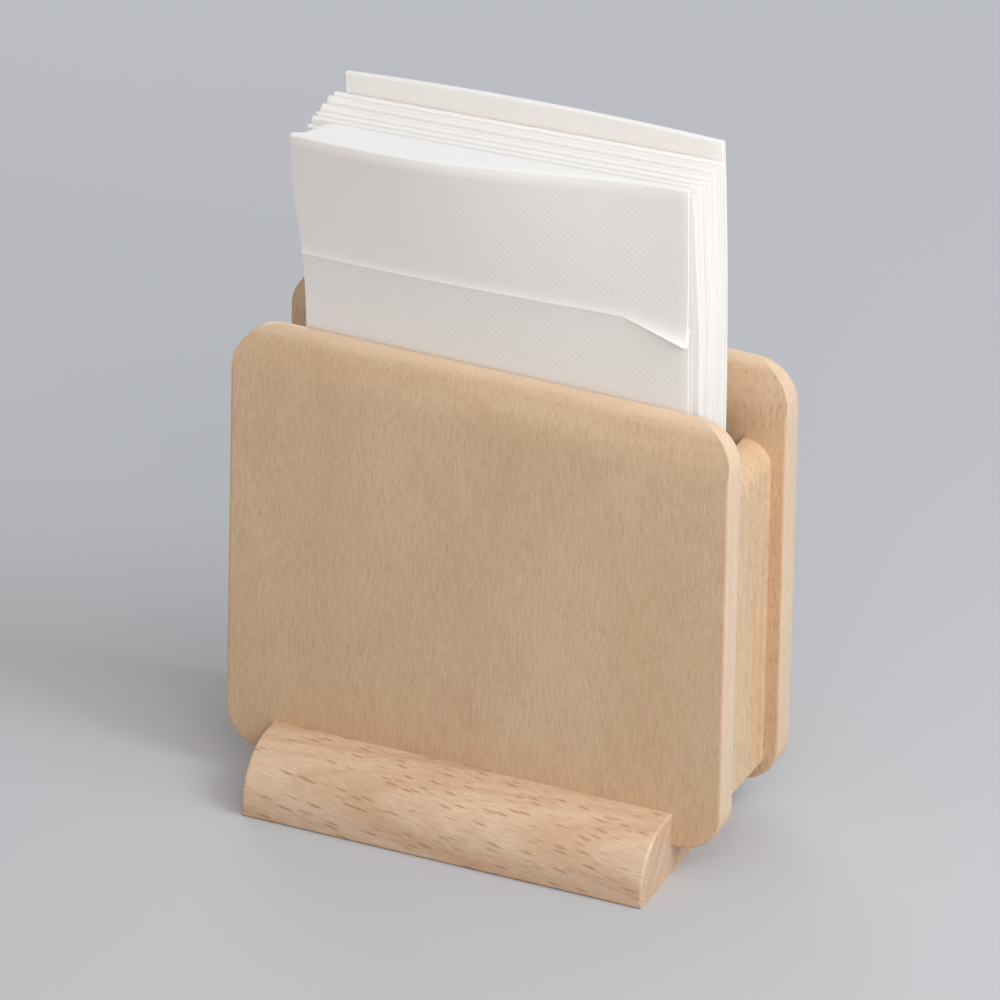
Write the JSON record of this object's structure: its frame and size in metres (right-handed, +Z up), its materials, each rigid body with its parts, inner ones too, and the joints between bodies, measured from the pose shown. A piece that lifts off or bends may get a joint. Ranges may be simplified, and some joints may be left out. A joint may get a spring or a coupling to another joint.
{
  "type": "napkin holder",
  "caption": "Upright wooden napkin holder: two rounded boards and two side boards form a slot on a foot with a rounded nose, holding folded paper napkins.",
  "frame": {"origin": "on the table under the middle of the holder's box", "axes": "+Z up, +X to the right, -Y towards the rounded nose of the foot at the front"},
  "size_m": [0.1412, 0.0706, 0.1959],
  "materials": {
    "beech_board": "satin",
    "beech_foot": "satin",
    "beech_dowel": "satin",
    "steel_screw": "satin",
    "tissue_paper": "matte"
  },
  "bodies": {
    "holder": {"front_plate": "beech_board", "back_plate": "beech_board", "left_wall": "beech_board", "right_wall": "beech_board", "slot_floor": "beech_board", "foot": "beech_foot", "side_dowels": "beech_dowel", "floor_dowels": "beech_dowel", "foot_screws": "steel_screw"},
    "front_napkin": {"napkin_01": "tissue_paper"},
    "napkin_stack": {"napkin_02": "tissue_paper", "napkin_03": "tissue_paper", "napkin_04": "tissue_paper", "napkin_05": "tissue_paper", "napkin_06": "tissue_paper", "napkin_07": "tissue_paper", "napkin_08": "tissue_paper", "napkin_09": "tissue_paper"},
    "raised_napkin": {"napkin_10": "tissue_paper"}
  },
  "joints": [
    {"name": "front_napkin_pull", "type": "slide", "parent": "holder", "child": "front_napkin", "axis": [0, 0.0454, 0.999], "range_m": [0, 0.11]},
    {"name": "napkin_stack_lift", "type": "slide", "parent": "holder", "child": "napkin_stack", "axis": [0, 0.0454, 0.999], "range_m": [0, 0.11]},
    {"name": "raised_napkin_pull", "type": "slide", "parent": "holder", "child": "raised_napkin", "axis": [0, 0.0454, 0.999], "range_m": [0, 0.11]}
  ]
}
